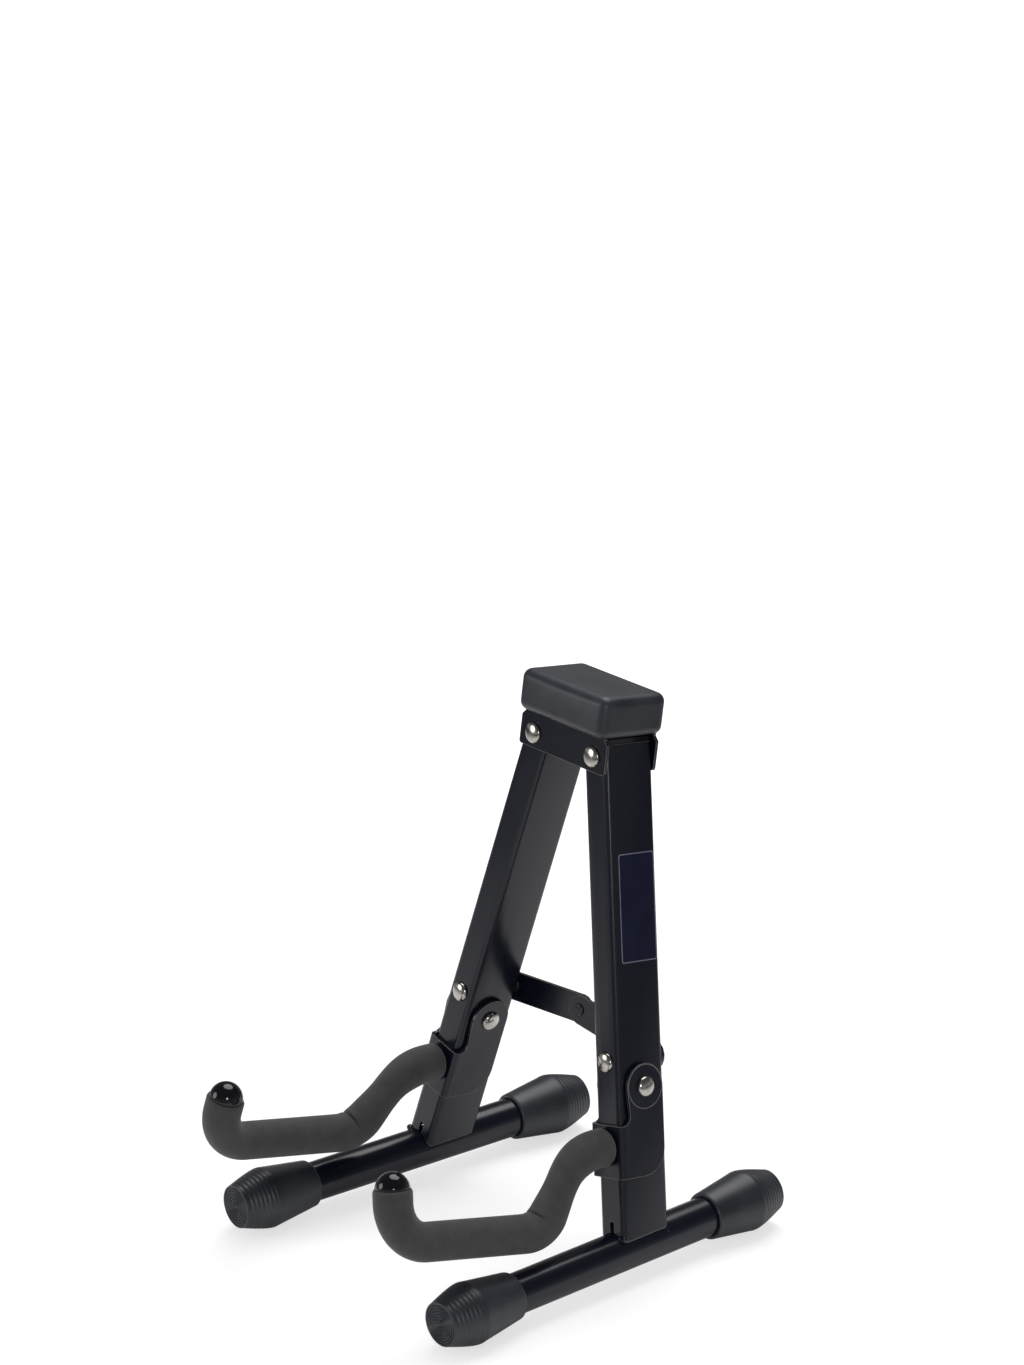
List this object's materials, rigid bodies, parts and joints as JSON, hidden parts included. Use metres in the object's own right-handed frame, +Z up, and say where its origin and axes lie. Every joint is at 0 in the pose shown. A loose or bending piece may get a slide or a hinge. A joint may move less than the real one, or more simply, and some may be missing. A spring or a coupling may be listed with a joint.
{
  "type": "ukulele stand",
  "caption": "Folding tabletop ukulele stand: raked steel columns on rubber-capped feet, fold-up foam-covered cradle arms, a spreader brace and a rubber backrest.",
  "frame": {"origin": "on the resting plane, at the middle of the whole stand's box across and front to back", "axes": "+Z up, -Y the front, where the cradle arms reach, and +X to the right seen from the back"},
  "size_m": [0.1812, 0.2292, 0.2648],
  "materials": {
    "painted_steel": "semi-gloss black powder coat",
    "foam": "matte charcoal closed-cell foam",
    "rubber": "satin moulded rubber",
    "plastic": "glossy moulded plastic",
    "bright_steel": "bright nickel-plated steel",
    "nylon": "natural nylon"
  },
  "bodies": {
    "head": {"head_channel": "painted_steel", "backrest_pad": "rubber", "head_pivot_rivet_right": "bright_steel", "head_pivot_rivet_left": "bright_steel"},
    "leg_right": {"column_tube_right": "painted_steel", "column_top_plug_right": "plastic", "foot_tube_right": "painted_steel", "foot_cap_front_right": "rubber", "foot_cap_back_right": "rubber", "arm_pivot_rivet_right": "bright_steel", "arm_pivot_bush_right": "nylon", "arm_washer_outer_right": "nylon", "arm_washer_inner_right": "nylon", "brace_rivet_right": "bright_steel"},
    "arm_right": {"arm_bracket_right": "painted_steel", "arm_rod_right": "painted_steel", "foam_sleeve_right": "foam", "arm_ball_cap_right": "plastic"},
    "link_right": {"brace_link_right": "painted_steel", "brace_middle_rivet_right": "painted_steel"},
    "leg_left": {"column_tube_left": "painted_steel", "column_top_plug_left": "plastic", "foot_tube_left": "painted_steel", "foot_cap_front_left": "rubber", "foot_cap_back_left": "rubber", "arm_pivot_rivet_left": "bright_steel", "arm_pivot_bush_left": "nylon", "arm_washer_outer_left": "nylon", "arm_washer_inner_left": "nylon", "brace_rivet_left": "bright_steel", "brace_spacer_left": "bright_steel"},
    "arm_left": {"arm_bracket_left": "painted_steel", "arm_rod_left": "painted_steel", "foam_sleeve_left": "foam", "arm_ball_cap_left": "plastic"},
    "link_left": {"brace_link_left": "painted_steel", "brace_middle_rivet_left": "painted_steel"}
  },
  "joints": [
    {"name": "leg_fold_right", "type": "hinge", "parent": "head", "child": "leg_right", "pos_m": [0.0207, 0.06021, 0.23329], "axis": [0, 0.9895, -0.1444], "range_deg": [0, 13.2]},
    {"name": "arm_fold_right", "type": "hinge", "parent": "leg_right", "child": "arm_right", "pos_m": [0.05545, 0.03882, 0.08666], "axis": [-0.9736, -0.033, -0.226], "range_deg": [0, 90]},
    {"name": "link_fold_right", "type": "hinge", "parent": "leg_right", "child": "link_right", "pos_m": [0.05274, 0.05464, 0.09606], "axis": [0, 0.9895, -0.1444], "range_deg": [0, 49]},
    {"name": "leg_fold_left", "type": "hinge", "parent": "head", "child": "leg_left", "pos_m": [-0.0207, 0.06021, 0.23329], "axis": [0, -0.9895, 0.1444], "range_deg": [0, 13.2]},
    {"name": "arm_fold_left", "type": "hinge", "parent": "leg_left", "child": "arm_left", "pos_m": [-0.05545, 0.03882, 0.08666], "axis": [-0.9736, 0.033, 0.226], "range_deg": [0, 90]},
    {"name": "link_fold_left", "type": "hinge", "parent": "leg_left", "child": "link_left", "pos_m": [-0.05274, 0.05652, 0.09579], "axis": [0, -0.9895, 0.1444], "range_deg": [0, 49]}
  ],
  "couplings": [
    {"joint": "leg_fold_left", "follows": "leg_fold_right", "ratio": 1},
    {"joint": "link_fold_right", "follows": "leg_fold_right", "ratio": 3.7125},
    {"joint": "link_fold_left", "follows": "leg_fold_right", "ratio": 3.7125}
  ]
}
